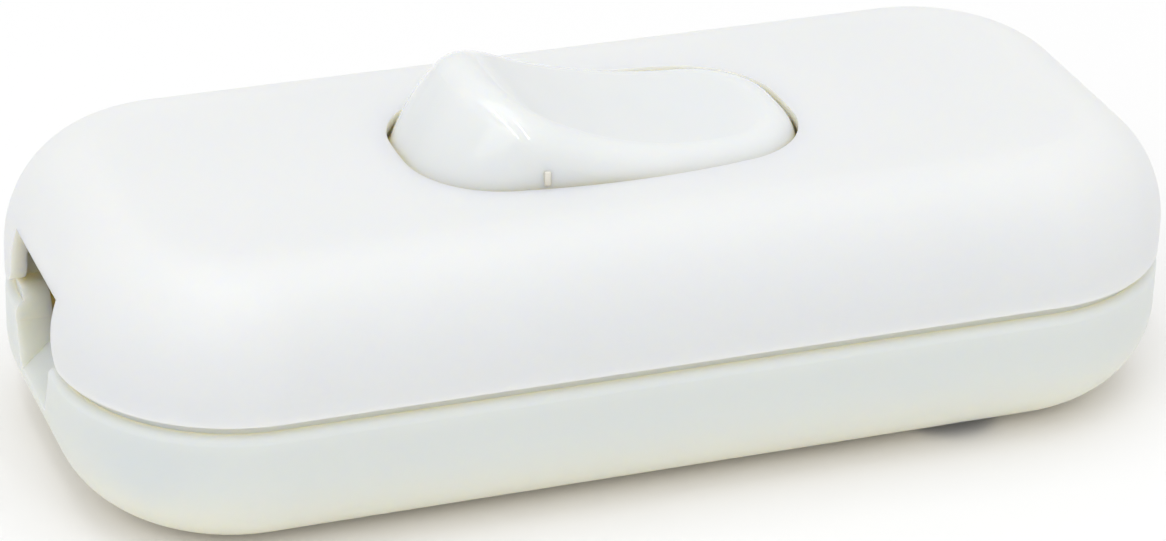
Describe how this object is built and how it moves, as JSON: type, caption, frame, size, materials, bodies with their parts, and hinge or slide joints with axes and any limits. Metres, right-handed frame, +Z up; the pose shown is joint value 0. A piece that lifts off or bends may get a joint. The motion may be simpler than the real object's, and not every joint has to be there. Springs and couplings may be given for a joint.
{
  "type": "inline cord switch",
  "caption": "Inline lamp cord switch: rounded two-part housing with a cord entry at each end and a rocker that works a two-pole see-saw mechanism.",
  "frame": {"origin": "centre of the underside, where the housing rests", "axes": "+X along the housing from the raised to the pressed end of the rocker, +Z up out of the rocker, +Y to the side away from the viewer of the picture"},
  "size_m": [0.062, 0.0282, 0.0199],
  "materials": {
    "housing_plastic": "white moulded plastic with a fine satin surface",
    "rocker_plastic": "white moulded plastic, polished",
    "plunger_plastic": "natural moulded plastic",
    "clamp_plastic": "white moulded plastic, satin",
    "brass": "pressed strip, rolled surface",
    "contact_alloy": "silver alloy rivet, satin",
    "screw_steel": "zinc-plated steel",
    "spring_steel": "drawn spring wire"
  },
  "bodies": {
    "housing": {"base_shell": "housing_plastic", "cover_shell": "housing_plastic", "common_terminal_front": "brass", "common_terminal_rear": "brass", "switched_terminal_front": "brass", "switched_terminal_rear": "brass", "fixed_contact_front": "contact_alloy", "fixed_contact_rear": "contact_alloy", "terminal_screws": "screw_steel", "terminal_washers": "screw_steel", "cord_clamp_left": "clamp_plastic", "cord_clamp_right": "clamp_plastic", "clamp_screws": "screw_steel", "housing_screws": "screw_steel"},
    "rocker": {"rocker": "rocker_plastic", "plunger_spring_front": "spring_steel", "plunger_spring_rear": "spring_steel"},
    "plunger_front": {"plunger_front": "plunger_plastic"},
    "lever_front": {"contact_lever_front": "brass", "moving_contact_front": "contact_alloy"},
    "plunger_rear": {"plunger_rear": "plunger_plastic"},
    "lever_rear": {"contact_lever_rear": "brass", "moving_contact_rear": "contact_alloy"}
  },
  "joints": [
    {"name": "rocker_hinge", "type": "hinge", "parent": "housing", "child": "rocker", "pos_m": [0, 0, 0.0113], "axis": [0, -1, 0], "range_deg": [0, 24]},
    {"name": "plunger_slide_front", "type": "slide", "parent": "rocker", "child": "plunger_front", "axis": [0.2079, 0, 0.9781], "range_m": [0, 0.0012], "stiffness_N_per_m": 300, "springref_m": -0.002, "deforming": ["plunger_spring_front"]},
    {"name": "lever_hinge_front", "type": "hinge", "parent": "housing", "child": "lever_front", "pos_m": [0, -0.0034, 0.007], "axis": [0, 1, 0], "range_deg": [0, 16.01]},
    {"name": "plunger_slide_rear", "type": "slide", "parent": "rocker", "child": "plunger_rear", "axis": [0.2079, 0, 0.9781], "range_m": [0, 0.0012], "stiffness_N_per_m": 300, "springref_m": -0.002, "deforming": ["plunger_spring_rear"]},
    {"name": "lever_hinge_rear", "type": "hinge", "parent": "housing", "child": "lever_rear", "pos_m": [0, 0.0034, 0.007], "axis": [0, 1, 0], "range_deg": [0, 16.01]}
  ],
  "couplings": [
    {"joint": "lever_hinge_front", "follows": "rocker_hinge", "ratio": 0.6667},
    {"joint": "lever_hinge_rear", "follows": "rocker_hinge", "ratio": 0.6667}
  ]
}
